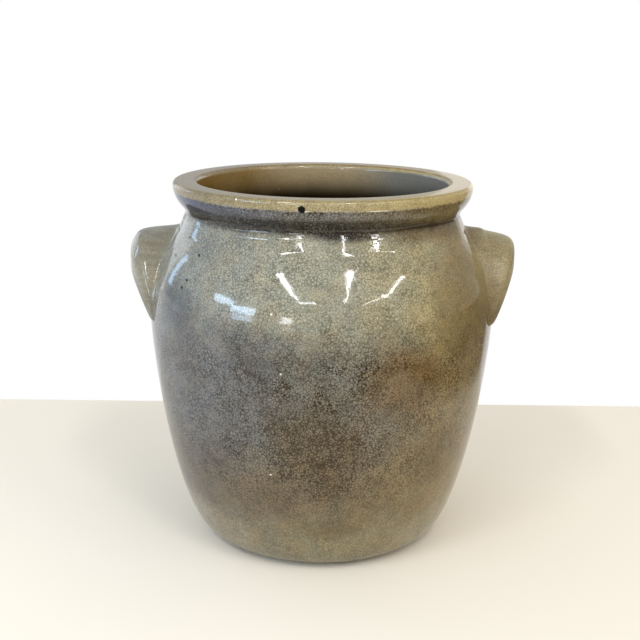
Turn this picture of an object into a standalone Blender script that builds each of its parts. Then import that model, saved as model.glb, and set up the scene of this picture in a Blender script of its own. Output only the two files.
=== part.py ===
"""Confit jar: a thrown stoneware jar with a heavy rolled rim and two hooded lugs.

Metres, +Z up. The origin is the centre of the foot, and the lugs stand on the X axis.
The jar is thrown as one body. Each lug is a separate slab of clay, bent into a hood,
open below for the fingers, and luted to the shoulder.
"""

import math

import bmesh
import bpy
from mathutils import Vector
from mathutils.geometry import interpolate_bezier

# Overall size of the jar, its widest place, and the steps down from its rim
HEIGHT = 0.3000
BELLY_HEIGHT = 0.1980
RIM_DEPTH = 0.0194
GROOVE_DEPTH = 0.0058
FILLET_DEPTH = 0.0024
CONE_DEPTH = 0.0103

# Radii of the jar, and what stands out from the neck
BELLY_RADIUS = 0.1428
NECK_RADIUS = 0.1127
FOOT_RADIUS = 0.0800
FILLET_FLARE = 0.0007
CONE_FLARE = 0.0041
RIM_OVERHANG = 0.0096
ROLL_OVERHANG = 0.0029

# Roundings
HEEL_ROUNDING = 0.0300
RIM_ROUNDING = 0.0030
MOUTH_ROUNDING = 0.0040
INNER_CORNER = 0.0240

# Thickness of the clay, and the straight throat under the mouth
WALL = 0.0090
NECK_WALL = 0.0105
FLOOR = 0.0120
THROAT_LENGTH = 0.0290

# Leans from the vertical, and how far each curve holds its direction
HEEL_LEAN = math.radians(43.0)
COLLAR_LEAN = math.radians(19.0)
CONE_LEAN = math.radians(21.0)
UNDERCUT_LEAN = math.radians(41.5)
HEEL_HANDLE = 0.0340
BELLY_HANDLE = 0.0447
SHOULDER_HANDLE = 0.0404
COLLAR_HANDLE = 0.0068
CONE_HANDLE = 0.0030
FILLET_HANDLE = 0.0010
NOSE_HANDLE = 0.0060
UNDERCUT_HANDLE = 0.0070
ROLL_HANDLE = 0.0025
GROOVE_HANDLE = 0.0016
THROAT_HANDLE = 0.0145

# Each hood's arch on the wall: steps down from the collar, and half of its width
LUG_DROP = 0.0012
BEND_DROP = 0.0225
TIP_DROP = 0.0731
LUG_HALF_WIDTH = 0.0515
TIP_WIDTH = 0.0090
ARCH_FULLNESS = 0.0200
ARCH_SWELL = 0.0030
LIP_FULLNESS = 0.0265

# The hoods were bent by hand. Each has its own reach past the belly, its own step down to the
# lip, and its own way for the crown to fall off towards the tips.
LEFT_REACH = 0.0172
RIGHT_REACH = 0.0166
LEFT_LIP_DROP = 0.0370
RIGHT_LIP_DROP = 0.0300
LEFT_CROWN_FALL = 1.58
RIGHT_CROWN_FALL = 2.00

# The clay of a hood at its tips and along it, and how deep its root is cut away
TIP_STAND = 0.0018
LUG_THICKNESS = 0.0080
LUG_ROOT = 0.0060
POCKET_ROUNDING = 0.0022

# Section of a hood. Each pair is a share of the way from the root to the lip, and a share
# of the stand from the wall to the crown. The single shares are also from root to lip.
LEFT_ROOF_SHARES = ((0.02, 0.36), (0.08, 0.75), (0.20, 0.91))
RIGHT_ROOF_SHARES = ((0.02, 0.33), (0.08, 0.55), (0.20, 0.99))
FACE_SHARES = ((0.55, 1.00), (0.94, 1.00))
INSIDE_SHARES = (0.94, 0.62)
ROOT_SHARE = -0.06
LIP_SHARE = 1.05
POCKET_SHARE = 0.45
UNDER_SHARE = 0.36

# Gap between pieces that touch
CLEARANCE = 0.0003

# Resolution of the turned and lofted surfaces
TURN_STEPS = 64
WALL_STEPS = 9
SHOULDER_STEPS = 8
INNER_STEPS = 6
ROUND_STEPS = 4
ROLL_STEPS = 4
GROOVE_STEPS = 2
ARCH_STATIONS = 7
CLAY_LEVELS = 2
MERGE_DISTANCE = 0.00001

JAR_COLOUR = (0.33, 0.30, 0.22)
LUG_COLOUR = (0.36, 0.32, 0.24)
GLAZE_ROUGHNESS = 0.18


def point(radius, height):
    """A point of a turned profile."""
    return Vector((radius, 0.0, height))


def span(start, start_handle, end_handle, end, count):
    """A smooth stretch of a profile, without its last point."""
    return interpolate_bezier(start, start_handle, end_handle, end, count + 1)[:-1]


def arc(centre, radius, start_angle, end_angle):
    """A round stretch of a profile. Angles are measured from +X towards +Z."""
    points = []
    for step in range(ROUND_STEPS + 1):
        angle = start_angle + (end_angle - start_angle) * step / ROUND_STEPS
        points.append(centre + radius * point(math.cos(angle), math.sin(angle)))
    return points


def leaning(lean):
    """The upward direction of a profile that leans outwards by an angle."""
    return point(math.sin(lean), math.cos(lean))


def roll_point():
    """The lower edge of the rolled rim."""
    return point(NECK_RADIUS + ROLL_OVERHANG, HEIGHT - RIM_DEPTH)


def neck_point():
    """The bottom of the groove under the rim, where the neck is narrowest."""
    return point(NECK_RADIUS, roll_point().z - GROOVE_DEPTH)


def cone_point():
    """Where the groove runs out into the cone below it."""
    return neck_point() + point(FILLET_FLARE, -FILLET_DEPTH)


def collar_point():
    """Where the cone turns into the shoulder."""
    return cone_point() + point(CONE_FLARE, -CONE_DEPTH)


def wall_profile():
    """The outside of the jar between the neck's groove and the foot, top to bottom."""
    neck = neck_point()
    cone = cone_point()
    collar = collar_point()
    belly = point(BELLY_RADIUS, BELLY_HEIGHT)
    heel_centre = point(FOOT_RADIUS, HEEL_ROUNDING)
    heel = heel_centre + HEEL_ROUNDING * point(math.cos(HEEL_LEAN), -math.sin(HEEL_LEAN))

    up = leaning(0.0)
    cone_way = leaning(-CONE_LEAN)
    collar_way = leaning(-COLLAR_LEAN)
    heel_way = leaning(HEEL_LEAN)
    points = span(
        neck, neck - FILLET_HANDLE * up, cone + FILLET_HANDLE * cone_way, cone, GROOVE_STEPS
    )
    points += span(
        cone, cone - CONE_HANDLE * cone_way, collar + CONE_HANDLE * collar_way, collar, GROOVE_STEPS
    )
    points += span(
        collar,
        collar - COLLAR_HANDLE * collar_way,
        belly + SHOULDER_HANDLE * up,
        belly,
        SHOULDER_STEPS,
    )
    points += span(
        belly, belly - BELLY_HANDLE * up, heel + HEEL_HANDLE * heel_way, heel, WALL_STEPS
    )
    points += arc(heel_centre, HEEL_ROUNDING, -HEEL_LEAN, -math.pi / 2)
    return points


def rim_profile():
    """The rolled rim, from the throat over the land and down to the neck's groove."""
    mouth_centre = point(NECK_RADIUS - NECK_WALL + MOUTH_ROUNDING, HEIGHT - MOUTH_ROUNDING)
    rim_centre = point(NECK_RADIUS + RIM_OVERHANG - RIM_ROUNDING, HEIGHT - RIM_ROUNDING)
    nose = rim_centre + point(RIM_ROUNDING, 0.0)
    roll = roll_point()
    neck = neck_point()

    up = leaning(0.0)
    undercut = leaning(UNDERCUT_LEAN)
    points = arc(mouth_centre, MOUTH_ROUNDING, math.pi, math.pi / 2)
    points += arc(rim_centre, RIM_ROUNDING, math.pi / 2, 0.0)[:-1]
    points += span(
        nose, nose - NOSE_HANDLE * up, roll + UNDERCUT_HANDLE * undercut, roll, ROLL_STEPS
    )
    points += span(
        roll, roll - ROLL_HANDLE * undercut, neck + GROOVE_HANDLE * up, neck, GROOVE_STEPS
    )
    return points


def inner_profile():
    """The inside of the jar, from the middle of the floor up to the throat."""
    throat = point(NECK_RADIUS - NECK_WALL, HEIGHT - MOUTH_ROUNDING - THROAT_LENGTH)
    belly = point(BELLY_RADIUS - WALL, BELLY_HEIGHT)
    corner_lean = HEEL_LEAN / 2
    corner_centre = point(FOOT_RADIUS + HEEL_ROUNDING - WALL - INNER_CORNER, FLOOR + INNER_CORNER)
    corner = corner_centre + INNER_CORNER * point(math.cos(corner_lean), -math.sin(corner_lean))

    up = leaning(0.0)
    points = [point(0.0, FLOOR)]
    points += arc(corner_centre, INNER_CORNER, -math.pi / 2, -corner_lean)[:-1]
    points += span(
        corner,
        corner + HEEL_HANDLE * leaning(corner_lean),
        belly - BELLY_HANDLE * up,
        belly,
        INNER_STEPS,
    )
    points += span(
        belly,
        belly + SHOULDER_HANDLE * up,
        throat - THROAT_HANDLE * leaning(-COLLAR_LEAN),
        throat,
        INNER_STEPS,
    )
    points.append(throat)
    return points


def wall_radius(height):
    """Radius of the outside of the wall at a height."""
    points = wall_profile()
    for upper, lower in zip(points, points[1:]):
        if lower.z <= height <= upper.z:
            share = (upper.z - height) / (upper.z - lower.z)
            return upper.x + (lower.x - upper.x) * share
    return points[0].x if height > points[0].z else points[-1].x


def turned(name, points, collection):
    """A turned solid: its half section, revolved about the Z axis."""
    mesh = bpy.data.meshes.new(name)
    half = bmesh.new()
    verts = [half.verts.new(place) for place in points]
    for first, second in zip(verts, verts[1:]):
        half.edges.new((first, second))
    half.to_mesh(mesh)
    half.free()
    turned_object = bpy.data.objects.new(name, mesh)
    collection.objects.link(turned_object)
    screw = turned_object.modifiers.new("Turn", "SCREW")
    screw.axis = "Z"
    screw.angle = math.tau
    screw.steps = TURN_STEPS
    screw.render_steps = TURN_STEPS
    screw.use_merge_vertices = True
    screw.merge_threshold = MERGE_DISTANCE
    screw.use_smooth_shade = True
    return turned_object


def on_wall(along, height, radius):
    """A point at a radius, a distance along the wall from the X axis, and a height."""
    turn = along / wall_radius(height)
    return Vector((radius * math.cos(turn), radius * math.sin(turn), height))


def lug_section(root, lip, crown, roof_shares):
    """One closed section of a hood, from its root over the crown to the lip and back under."""

    def height_at(share):
        return root.z + (lip.z - root.z) * share

    def place(share, radius):
        along = root.x + (lip.x - root.x) * share
        return on_wall(along, height_at(share), radius)

    root_radius = wall_radius(root.z)
    under_radius = wall_radius(height_at(UNDER_SHARE))
    inside = crown - LUG_THICKNESS
    section = [place(ROOT_SHARE, root_radius - LUG_ROOT)]
    for share, stand in roof_shares + FACE_SHARES:
        section.append(place(share, root_radius + stand * (crown - root_radius)))
    section.append(place(LIP_SHARE, crown - LUG_THICKNESS / 2))
    section += [place(share, inside) for share in INSIDE_SHARES]
    section.append(place(POCKET_SHARE, inside - POCKET_ROUNDING))
    section.append(place(UNDER_SHARE, under_radius - LUG_ROOT))
    return section


def lug_arches(lip_drop):
    """The arch of a hood's root and the arch of its lip, from the middle to the tip."""
    top = collar_point().z - LUG_DROP
    lip = top - lip_drop
    tip = top - TIP_DROP
    outer_tip = point(LUG_HALF_WIDTH, tip)
    inner_tip = point(LUG_HALF_WIDTH - TIP_WIDTH, tip)
    root_arch = interpolate_bezier(
        point(0.0, top),
        point(ARCH_FULLNESS, top),
        point(LUG_HALF_WIDTH + ARCH_SWELL, top - BEND_DROP),
        outer_tip,
        ARCH_STATIONS,
    )
    lip_arch = interpolate_bezier(
        point(0.0, lip),
        point(LIP_FULLNESS, lip),
        point(inner_tip.x, (lip + tip) / 2),
        inner_tip,
        ARCH_STATIONS,
    )
    return root_arch, lip_arch


def lug_loft(reach, lip_drop, crown_fall, roof_shares):
    """Half of a hood: its section, carried along its arch from the middle to the tip."""
    root_arch, lip_arch = lug_arches(lip_drop)
    crown_radius = BELLY_RADIUS + reach
    loft = bmesh.new()
    loops = []
    for station, (root, lip) in enumerate(zip(root_arch, lip_arch)):
        share = station / (ARCH_STATIONS - 1)
        tip_radius = wall_radius(lip.z) + TIP_STAND
        crown = crown_radius + (tip_radius - crown_radius) * share**crown_fall
        verts = [loft.verts.new(place) for place in lug_section(root, lip, crown, roof_shares)]
        loops.append([loft.edges.new((a, b)) for a, b in zip(verts, verts[1:] + verts[:1])])
    for first, second in zip(loops, loops[1:]):
        bmesh.ops.bridge_loops(loft, edges=first + second)
    bmesh.ops.contextual_create(loft, geom=loops[-1])
    bmesh.ops.recalc_face_normals(loft, faces=loft.faces)
    return loft


def lug_handle(name, loft, turn, wall_cutter, collection):
    """A hood of clay on one side of the jar: its half, mirrored, softened and seated."""
    mesh = bpy.data.meshes.new(name)
    loft.to_mesh(mesh)
    loft.free()
    lug = bpy.data.objects.new(name, mesh)
    collection.objects.link(lug)
    lug.rotation_euler.z = turn

    mirror = lug.modifiers.new("Other half", "MIRROR")
    mirror.use_axis = (False, True, False)
    mirror.use_clip = True
    mirror.merge_threshold = MERGE_DISTANCE
    smooth = lug.modifiers.new("Soft clay", "SUBSURF")
    smooth.levels = CLAY_LEVELS
    smooth.render_levels = CLAY_LEVELS
    seat = lug.modifiers.new("Seat on the wall", "BOOLEAN")
    seat.operation = "DIFFERENCE"
    seat.solver = "EXACT"
    seat.object = wall_cutter
    mesh.shade_smooth()
    return lug


def wall_cutter_profile():
    """The outside of the wall, grown by the clearance and closed on the axis."""
    wall = wall_profile()
    grown = []
    for index, place in enumerate(wall):
        before = wall[max(index - 1, 0)]
        after = wall[min(index + 1, len(wall) - 1)]
        way = (after - before).normalized()
        grown.append(place + CLEARANCE * Vector((-way.z, 0.0, way.x)))
    return [point(0.0, grown[0].z)] + grown + [point(0.0, grown[-1].z)]


def glaze(name, colour):
    """A glazed stoneware material."""
    material = bpy.data.materials.new(name)
    material.use_nodes = True
    shader = material.node_tree.nodes["Principled BSDF"]
    shader.inputs["Base Color"].default_value = (*colour, 1.0)
    shader.inputs["Roughness"].default_value = GLAZE_ROUGHNESS
    shader.inputs["Metallic"].default_value = 0.0
    return material


def new_collection(name):
    """A collection in the scene."""
    collection = bpy.data.collections.new(name)
    bpy.context.scene.collection.children.link(collection)
    return collection


def build():
    """The jar and its two lugs."""
    for old in list(bpy.data.objects):
        bpy.data.objects.remove(old, do_unlink=True)
    parts = new_collection("confit_jar")
    cutters = new_collection("cutters")

    profile = inner_profile() + rim_profile() + wall_profile() + [point(0.0, 0.0)]
    jar = turned("jar_body", profile, parts)
    jar.data.materials.append(glaze("jar_glaze", JAR_COLOUR))

    wall_cutter = turned("wall_cutter", wall_cutter_profile(), cutters)
    wall_cutter.hide_render = True
    wall_cutter.display_type = "WIRE"

    lug_material = glaze("lug_glaze", LUG_COLOUR)
    left = lug_loft(LEFT_REACH, LEFT_LIP_DROP, LEFT_CROWN_FALL, LEFT_ROOF_SHARES)
    right = lug_loft(RIGHT_REACH, RIGHT_LIP_DROP, RIGHT_CROWN_FALL, RIGHT_ROOF_SHARES)
    for name, loft, turn in (
        ("left_lug_handle", left, math.pi),
        ("right_lug_handle", right, 0.0),
    ):
        lug = lug_handle(name, loft, turn, wall_cutter, parts)
        lug.data.materials.append(lug_material)


build()
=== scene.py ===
# %% [markdown]
# # A crackled stoneware confit jar
# The real jar was thrown on a wheel, two hoods of clay were luted to its shoulder for lifting,
# and the whole pot was dipped in a thin grey-green glaze that crazed as it cooled. The packed
# model is already true to size, so this lesson dresses it: a finer skin for each of its three
# pieces, and then a glaze that is built up the way glaze lies on clay.

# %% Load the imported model
import math

import bmesh
import bpy
from mathutils import Color, Matrix, Vector, noise
from mathutils.geometry import interpolate_bezier


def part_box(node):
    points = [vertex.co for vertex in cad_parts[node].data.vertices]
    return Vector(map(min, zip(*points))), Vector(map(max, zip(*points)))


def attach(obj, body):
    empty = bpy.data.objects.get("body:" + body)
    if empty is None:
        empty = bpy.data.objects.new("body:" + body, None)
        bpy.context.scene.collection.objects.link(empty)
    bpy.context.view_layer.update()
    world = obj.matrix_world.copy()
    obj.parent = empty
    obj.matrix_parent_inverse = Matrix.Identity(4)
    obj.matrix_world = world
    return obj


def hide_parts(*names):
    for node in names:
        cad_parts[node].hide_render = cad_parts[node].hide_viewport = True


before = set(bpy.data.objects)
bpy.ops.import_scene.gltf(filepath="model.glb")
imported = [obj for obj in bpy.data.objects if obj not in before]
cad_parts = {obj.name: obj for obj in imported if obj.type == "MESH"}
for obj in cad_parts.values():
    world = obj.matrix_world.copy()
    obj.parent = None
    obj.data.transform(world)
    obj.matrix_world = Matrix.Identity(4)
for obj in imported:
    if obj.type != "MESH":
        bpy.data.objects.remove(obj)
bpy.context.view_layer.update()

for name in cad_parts:
    low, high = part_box(name)
    print(name, "spans", [round(side * 1000, 1) for side in high - low], "mm")

# %% [markdown]
# ## The camera
# The photograph was taken from a little above the rim, looking down at the jar. The camera is
# set first, because everything after it is judged through it. It could be aimed with a
# constraint, but plain turns keep its slight lean to one side, which a constraint would remove.


# %% A way to put things in the scene
def put(name, data):
    """Makes an object of some data and links it to the scene."""
    made = bpy.data.objects.new(name, data)
    bpy.context.scene.collection.objects.link(made)
    return made


# %% Place the camera
CAMERA_BACK = 0.8997
CAMERA_HEIGHT = 0.4171
CAMERA_LENS = 61.875
LOOK_DOWN = math.radians(14.72)
CAMERA_LEAN = math.radians(0.645)
CAMERA_TURN = math.radians(0.0714)

camera_data = bpy.data.cameras.new("Camera")
camera_data.lens = CAMERA_LENS
camera = put("Camera", camera_data)
camera.matrix_world = (
    Matrix.Translation((0.0, -CAMERA_BACK, CAMERA_HEIGHT))
    @ Matrix.Rotation(CAMERA_TURN, 4, "Z")
    @ Matrix.Rotation(math.pi / 2 - LOOK_DOWN, 4, "X")
    @ Matrix.Rotation(CAMERA_LEAN, 4, "Z")
)
bpy.context.scene.camera = camera
bpy.context.scene.view_settings.view_transform = "Standard"
print("camera stands", round(CAMERA_BACK, 2), "m in front of the jar's axis")

# %% [markdown]
# ## The jar's half section
# A thrown pot is the same all the way round, so one line through the clay describes it. The line
# runs from the middle of the floor, up the inside, over the rim and down the outside to the
# foot. Short Bezier curves suit it better than many points, because a potter's rib also leaves
# long, even curves, and arcs make the roundings. The height and the belly's radius are read from
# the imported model, and the other sizes are those it was drawn with. All are in metres. A pull is
# the length of a curve's handle: the longer it is, the later the curve bends.

# %% Sizes of the jar
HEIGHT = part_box("jar_body")[1].z
BELLY_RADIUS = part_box("jar_body")[1].y
BELLY_HEIGHT = 0.1980
NECK_RADIUS = 0.1127
RIM_RADIUS = NECK_RADIUS + 0.0096
MOUTH_RADIUS = NECK_RADIUS - 0.0105
ROLL_RADIUS = NECK_RADIUS + 0.0029
COLLAR_RADIUS = NECK_RADIUS + 0.0048
FOOT_RADIUS = 0.0800
ROLL_HEIGHT = HEIGHT - 0.0194
NECK_HEIGHT = ROLL_HEIGHT - 0.0058
COLLAR_HEIGHT = NECK_HEIGHT - 0.0127
WALL = 0.0090
FLOOR = 0.0120
HEEL_ROUNDING = 0.0300
HEEL_LEAN = math.radians(43.0)
ROLL_LEAN = math.radians(41.5)
NECK_LEAN = math.radians(21.0)
COLLAR_LEAN = math.radians(19.0)
MOUTH_ROUNDING = 0.0040
RIM_ROUNDING = 0.0030
CORNER_ROUNDING = 0.0240
THROAT_DEPTH = 0.0330
print("jar", round(HEIGHT * 1000), "mm high,", round(BELLY_RADIUS * 2000, 1), "mm across")


# %% Tools for drawing a section
def point(radius, height):
    """A point of a turned section."""
    return Vector((radius, 0.0, height))


def leaning(lean):
    """The upward direction of a section that leans outwards by an angle."""
    return point(math.sin(lean), math.cos(lean))


def span(start, start_handle, end_handle, end, count):
    """A smooth stretch of a section, without its last point."""
    return interpolate_bezier(start, start_handle, end_handle, end, count + 1)[:-1]


def arc(centre, radius, start_angle, end_angle, count):
    """A round stretch of a section. Angles are measured from +X towards +Z."""
    points = []
    for step in range(count + 1):
        angle = start_angle + (end_angle - start_angle) * step / count
        points.append(centre + radius * point(math.cos(angle), math.sin(angle)))
    return points


UP = leaning(0.0)

# %% How far each curve is pulled before it bends
NECK_PULL = 0.0010
CONE_PULL = 0.0030
COLLAR_PULL = 0.0068
SHOULDER_PULL = 0.0404
BELLY_PULL = 0.0447
HEEL_PULL = 0.0340
THROAT_PULL = 0.0145
NOSE_PULL = 0.0060
ROLL_PULL = 0.0070
UNDERCUT_PULL = 0.0025
GROOVE_PULL = 0.0016
CONE_DROP = 0.0024
CONE_STEP = 0.0007


# %% Draw the outside of the wall, top to bottom
def wall_section():
    """From the groove below the rim down to the flat of the foot."""
    neck = point(NECK_RADIUS, NECK_HEIGHT)
    collar = point(COLLAR_RADIUS, COLLAR_HEIGHT)
    belly = point(BELLY_RADIUS, BELLY_HEIGHT)
    heel_centre = point(FOOT_RADIUS, HEEL_ROUNDING)
    heel = heel_centre + HEEL_ROUNDING * point(math.cos(HEEL_LEAN), -math.sin(HEEL_LEAN))
    collar_way = leaning(-COLLAR_LEAN)
    cone_way = leaning(-NECK_LEAN)
    cone = neck - CONE_DROP * UP + point(CONE_STEP, 0.0)
    points = span(neck, neck - NECK_PULL * UP, cone + NECK_PULL * cone_way, cone, 4)
    points += span(cone, cone - CONE_PULL * cone_way, collar + CONE_PULL * collar_way, collar, 12)
    points += span(collar, collar - COLLAR_PULL * collar_way, belly + SHOULDER_PULL * UP, belly, 44)
    points += span(belly, belly - BELLY_PULL * UP, heel + HEEL_PULL * leaning(HEEL_LEAN), heel, 52)
    points += arc(heel_centre, HEEL_ROUNDING, -HEEL_LEAN, -math.pi / 2, 14)
    return points


# %% Draw the rolled rim, from the throat over the land to the groove
def rim_section():
    """Two roundings with the flat land between them, and the undercut of the roll."""
    mouth_centre = point(MOUTH_RADIUS + MOUTH_ROUNDING, HEIGHT - MOUTH_ROUNDING)
    rim_centre = point(RIM_RADIUS - RIM_ROUNDING, HEIGHT - RIM_ROUNDING)
    nose = rim_centre + point(RIM_ROUNDING, 0.0)
    roll = point(ROLL_RADIUS, ROLL_HEIGHT)
    neck = point(NECK_RADIUS, NECK_HEIGHT)
    undercut = leaning(ROLL_LEAN)
    points = arc(mouth_centre, MOUTH_ROUNDING, math.pi, math.pi / 2, 8)
    points += arc(rim_centre, RIM_ROUNDING, math.pi / 2, 0.0, 8)[:-1]
    points += span(nose, nose - NOSE_PULL * UP, roll + ROLL_PULL * undercut, roll, 16)
    points += span(roll, roll - UNDERCUT_PULL * undercut, neck + GROOVE_PULL * UP, neck, 8)
    return points


# %% Draw the inside, from the middle of the floor to the throat
def inner_section():
    """The outside's curves again, a wall further in, with a rounder corner at the floor."""
    throat = point(MOUTH_RADIUS, HEIGHT - THROAT_DEPTH)
    throat_way = leaning(-COLLAR_LEAN)
    belly = point(BELLY_RADIUS - WALL, BELLY_HEIGHT)
    lean = HEEL_LEAN / 2
    corner_radius = FOOT_RADIUS + HEEL_ROUNDING - WALL - CORNER_ROUNDING
    corner_centre = point(corner_radius, FLOOR + CORNER_ROUNDING)
    corner = corner_centre + CORNER_ROUNDING * point(math.cos(lean), -math.sin(lean))
    points = [point(0.0, FLOOR), point(0.030, FLOOR), point(0.060, FLOOR)]
    points += arc(corner_centre, CORNER_ROUNDING, -math.pi / 2, -lean, 10)[:-1]
    points += span(corner, corner + HEEL_PULL * leaning(lean), belly - BELLY_PULL * UP, belly, 30)
    points += span(belly, belly + SHOULDER_PULL * UP, throat - THROAT_PULL * throat_way, throat, 20)
    points += [throat, throat + 0.010 * UP, throat + 0.020 * UP]
    return points


section = inner_section() + rim_section() + wall_section() + [point(0.0, 0.0)]
print("the half section has", len(section), "points")

# %% [markdown]
# ## Turning the jar
# The spin operator is the wheel: it carries the section round the axis and joins the last copy
# to the first. A Screw modifier would give the same form, but the operator leaves real vertices,
# and the next step needs them. The points of the inside are marked first, up to the middle of the
# mouth's rounding, so that the glaze can tell inside from outside. The poles in the middle of the
# floor and of the foot are welded, and the normals are turned outwards afterwards.

# %% Spin the section
TURN_STEPS = 256
WELD = 0.000001
MOUTH_POINTS = 5

jar_mesh = bmesh.new()
inside_layer = jar_mesh.verts.layers.float.new("inside")
line = [jar_mesh.verts.new(place) for place in section]
for vert in line[: len(inner_section()) + MOUTH_POINTS]:
    vert[inside_layer] = 1.0
for first, second in zip(line, line[1:]):
    jar_mesh.edges.new((first, second))
bmesh.ops.spin(
    jar_mesh,
    geom=jar_mesh.verts[:] + jar_mesh.edges[:],
    cent=(0.0, 0.0, 0.0),
    axis=(0.0, 0.0, 1.0),
    angle=math.tau,
    steps=TURN_STEPS,
    use_merge=True,
)
bmesh.ops.remove_doubles(jar_mesh, verts=jar_mesh.verts, dist=WELD)
bmesh.ops.recalc_face_normals(jar_mesh, faces=jar_mesh.faces)
print("turned", len(jar_mesh.faces), "faces")

# %% [markdown]
# ## A hand at the wheel
# Nothing thrown by hand is perfectly round. The fingers leave shallow rings, and the pot sags a
# little as it dries. Both are a few tenths of a millimetre, too little to see in the outline,
# but a gloss glaze shows them at once in the edges of its highlights. So they are real shape
# here and not only bump. The clay only moves inwards, which keeps the jar inside its true size.

# %% Let the clay wander
SAG_DEPTH = 0.00035
SAG_LENGTH = 0.060
RING_DEPTH = 0.00010
RING_ROUND = 0.075
RING_HEIGHT = 0.0052


def sag(place):
    """How far the clay lies inside its ideal surface, from 0 to 1."""
    return 0.5 + 0.5 * noise.noise(place / SAG_LENGTH)


def finger_ring(place):
    """The rings that the potter's fingers left, as long, flat waves from 0 to 1."""
    flat = Vector((place.x / RING_ROUND, place.y / RING_ROUND, place.z / RING_HEIGHT))
    return 0.5 + 0.5 * noise.noise(flat)


def wander(mesh):
    """Moves each vertex straight towards the axis, so what is level stays level."""
    for vert in mesh.verts:
        outward = Vector((vert.co.x, vert.co.y, 0.0))
        if outward.length > FOOT_RADIUS * 0.5:
            depth = SAG_DEPTH * sag(vert.co) + RING_DEPTH * finger_ring(vert.co)
            vert.co -= outward.normalized() * depth


wander(jar_mesh)
print("the clay sags by up to", round((SAG_DEPTH + RING_DEPTH) * 1000, 2), "mm")


# %% Make an object of the jar
def finish_mesh(mesh, name):
    """Makes a smooth object of a bmesh and lets it ride on the jar."""
    data = bpy.data.meshes.new(name)
    mesh.to_mesh(data)
    mesh.free()
    data.shade_smooth()
    made = put(name, data)
    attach(made, "root")
    return made


jar = finish_mesh(jar_mesh, "thrown_jar")
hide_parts("jar_body")
print(jar.name, "has", len(jar.data.polygons), "faces")

# %% [markdown]
# ## The lugs
# Each lug is a slab of clay that was bent into a hood, pressed to the shoulder and smoothed into
# it with a wet finger. A loft suits that: one closed section goes round the slab, from the wall
# over the crown to the lip and back under, and it is carried along the arch of the hood. The
# first points of the section lie on the wall, so that the hood runs out into it the way the
# finger left it. A Boolean union would leave a hard crease there instead. In the tables, a pair
# is how far along the hood a point lies, and how far it stands off the wall or lies under the
# skin.

# %% Sizes of a lug
TIP_HEIGHT = COLLAR_HEIGHT - 0.0733
LUG_THICKNESS = 0.0080
TIP_MIDDLE = 0.0470
TIP_WIDTH = 0.0090
ARCH_STATIONS = 9
FLARE = ((0.0045, -0.0005), (0.0022, 0.0001), (0.0004, 0.0012))
HOOD_FACE = ((0.40, 1.00), (0.70, 1.00), (0.93, 1.00))
LIP = ((1.03, 0.0012), (1.05, 0.0040), (1.03, 0.0068))
UNDERSIDE = ((0.95, 0.0), (0.62, 0.0), (0.45, 0.0022))
POCKET_END = 0.36
POCKET_DEPTH = 0.0040
BURIED_REACH = 0.0070
BURIED_DEPTH = 0.0045
LEFT_HOOD = {
    "top": COLLAR_HEIGHT - 0.0015,
    "lip": COLLAR_HEIGHT - 0.0381,
    "reach": 0.0164,
    "fall": 1.50,
    "tip_stand": 0.0009,
    "roof": ((0.02, 0.37), (0.08, 0.81), (0.20, 0.88)),
}
RIGHT_HOOD = {
    "top": COLLAR_HEIGHT - 0.0003,
    "lip": COLLAR_HEIGHT - 0.0306,
    "reach": 0.0161,
    "fall": 2.05,
    "tip_stand": 0.0024,
    "roof": ((0.02, 0.40), (0.08, 0.34), (0.20, 0.92)),
}
print("a hood's section has", len(FLARE + HOOD_FACE + LIP + UNDERSIDE) + 5, "points")

# %% Where the wall is
wall_points = wall_section()


def wall_radius(height):
    """Radius of the outside of the wall at a height."""
    for upper, lower in zip(wall_points, wall_points[1:]):
        if lower.z <= height <= upper.z:
            share = (upper.z - height) / (upper.z - lower.z)
            return upper.x + (lower.x - upper.x) * share
    return wall_points[0].x


def on_wall(along, height, radius):
    """A point at a radius, a distance along the wall from the X axis, and a height."""
    turn = along / wall_radius(height)
    return Vector((radius * math.cos(turn), radius * math.sin(turn), height))


def off_wall(there, stand):
    """A point that stands off the wall by a distance."""
    return on_wall(there.x, there.z, wall_radius(there.z) + stand)


# %% One section of a hood
def lug_section(root, lip, crown, roof):
    """From the wall above the root over the crown to the lip, and back under to the wall."""
    away = (root - lip).normalized()
    root_radius = wall_radius(root.z)
    points = [off_wall(root + away * reach, stand) for reach, stand in FLARE]

    def place(share, radius):
        """A point of the hood, at a share of the way from the root to the lip."""
        there = root + (lip - root) * share
        return on_wall(there.x, there.z, radius)

    for share, stand in roof + HOOD_FACE:
        points.append(place(share, root_radius + stand * (crown - root_radius)))
    for share, depth in LIP:
        points.append(place(share, crown - depth))
    for share, dip in UNDERSIDE:
        points.append(place(share, crown - LUG_THICKNESS - dip))
    points.append(off_wall(root + (lip - root) * POCKET_END, -POCKET_DEPTH))
    points.append(off_wall(root + away * BURIED_REACH, -BURIED_DEPTH))
    return points


# %% The arches that the section follows
ROOT_PULL = 0.0200
ROOT_SPREAD = 0.0545
ROOT_DROP = 0.0225
LIP_PULL = 0.0265


def lug_arches(top, lip):
    """The arch of the root and the arch of the lip, from the middle to the tip."""
    tip_out = point(TIP_MIDDLE + TIP_WIDTH / 2, TIP_HEIGHT)
    tip_in = point(TIP_MIDDLE - TIP_WIDTH / 2, TIP_HEIGHT)
    root_curve = (point(0.0, top), point(ROOT_PULL, top), point(ROOT_SPREAD, top - ROOT_DROP))
    lip_curve = (point(0.0, lip), point(LIP_PULL, lip), point(tip_in.x, (lip + TIP_HEIGHT) / 2))
    root_half = interpolate_bezier(*root_curve, tip_out, ARCH_STATIONS)
    lip_half = interpolate_bezier(*lip_curve, tip_in, ARCH_STATIONS)
    return root_half, lip_half


def both_ways(half):
    """A half arch and its mirror image, as one run from tip to tip."""
    other = [Vector((-place.x, place.y, place.z)) for place in reversed(half[1:])]
    return other + half


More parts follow.
